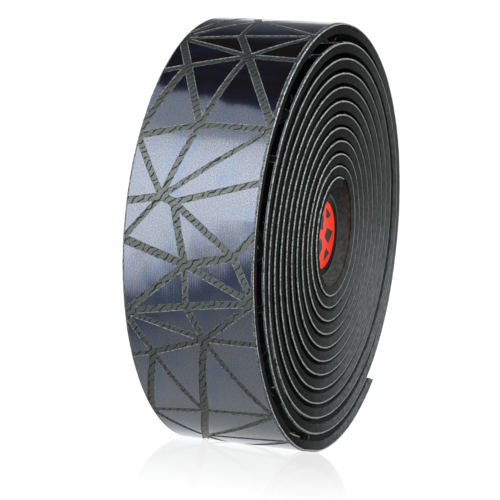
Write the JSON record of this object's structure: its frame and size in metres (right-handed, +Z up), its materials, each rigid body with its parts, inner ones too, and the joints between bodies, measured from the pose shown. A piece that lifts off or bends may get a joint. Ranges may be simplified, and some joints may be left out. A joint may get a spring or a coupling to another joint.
{
  "type": "handlebar tape roll",
  "caption": "Roll of cushioned handlebar grip tape standing on edge, faceted glossy face, free tail, with a push-in bar-end plug in its core.",
  "frame": {"origin": "centre of the footprint on the floor, at the bottom of the standing roll", "axes": "+Y along the roll's winding axis, towards the side the plug can't be seen from; +Z up; -Y is the side the plug is pulled out of"},
  "size_m": [0.0954, 0.03, 0.097],
  "materials": {
    "foam": "matte closed-cell foam",
    "face_skin": "grey rippled ground with glossy dark film facets",
    "adhesive": "tacky",
    "liner": "waxed paper",
    "plug_plastic": "moulded black plastic",
    "inlay_print": null
  },
  "bodies": {
    "wound_tape": {"foam_base": "foam", "face_skin": "face_skin", "adhesive_strip": "adhesive", "release_liner": "liner"},
    "tail_1": {"skin_tail_1": "face_skin", "foam_tail_1": "foam", "adhesive_tail_1": "adhesive", "liner_tail_1": "liner"},
    "tail_2": {"skin_tail_2": "face_skin", "foam_tail_2": "foam", "adhesive_tail_2": "adhesive", "liner_tail_2": "liner"},
    "tail_3": {"skin_tail_3": "face_skin", "foam_tail_3": "foam", "adhesive_tail_3": "adhesive", "liner_tail_3": "liner"},
    "end_plug": {"end_plug_body": "plug_plastic", "end_plug_inlay": "inlay_print"}
  },
  "joints": [
    {"name": "tail_peel_1", "type": "hinge", "parent": "wound_tape", "child": "tail_1", "pos_m": [0.01632, 0, 0.00206], "axis": [0, 1, 0], "range_deg": [0, 12], "stiffness_Nm_per_rad": 0.004, "springref_deg": -0.57},
    {"name": "tail_peel_2", "type": "hinge", "parent": "tail_1", "child": "tail_2", "pos_m": [0.02526, 0, 0.00585], "axis": [0, 1, 0], "range_deg": [0, 12], "stiffness_Nm_per_rad": 0.004, "springref_deg": -0.57},
    {"name": "tail_peel_3", "type": "hinge", "parent": "tail_2", "child": "tail_3", "pos_m": [0.03332, 0, 0.01132], "axis": [0, 1, 0], "range_deg": [0, 12], "stiffness_Nm_per_rad": 0.004, "springref_deg": -0.57},
    {"name": "plug_pull", "type": "slide", "parent": "wound_tape", "child": "end_plug", "axis": [0, -1, 0], "range_m": [-0.0025, 0.025]}
  ],
  "couplings": [
    {"joint": "tail_peel_2", "follows": "tail_peel_1", "ratio": 1},
    {"joint": "tail_peel_3", "follows": "tail_peel_1", "ratio": 1}
  ]
}
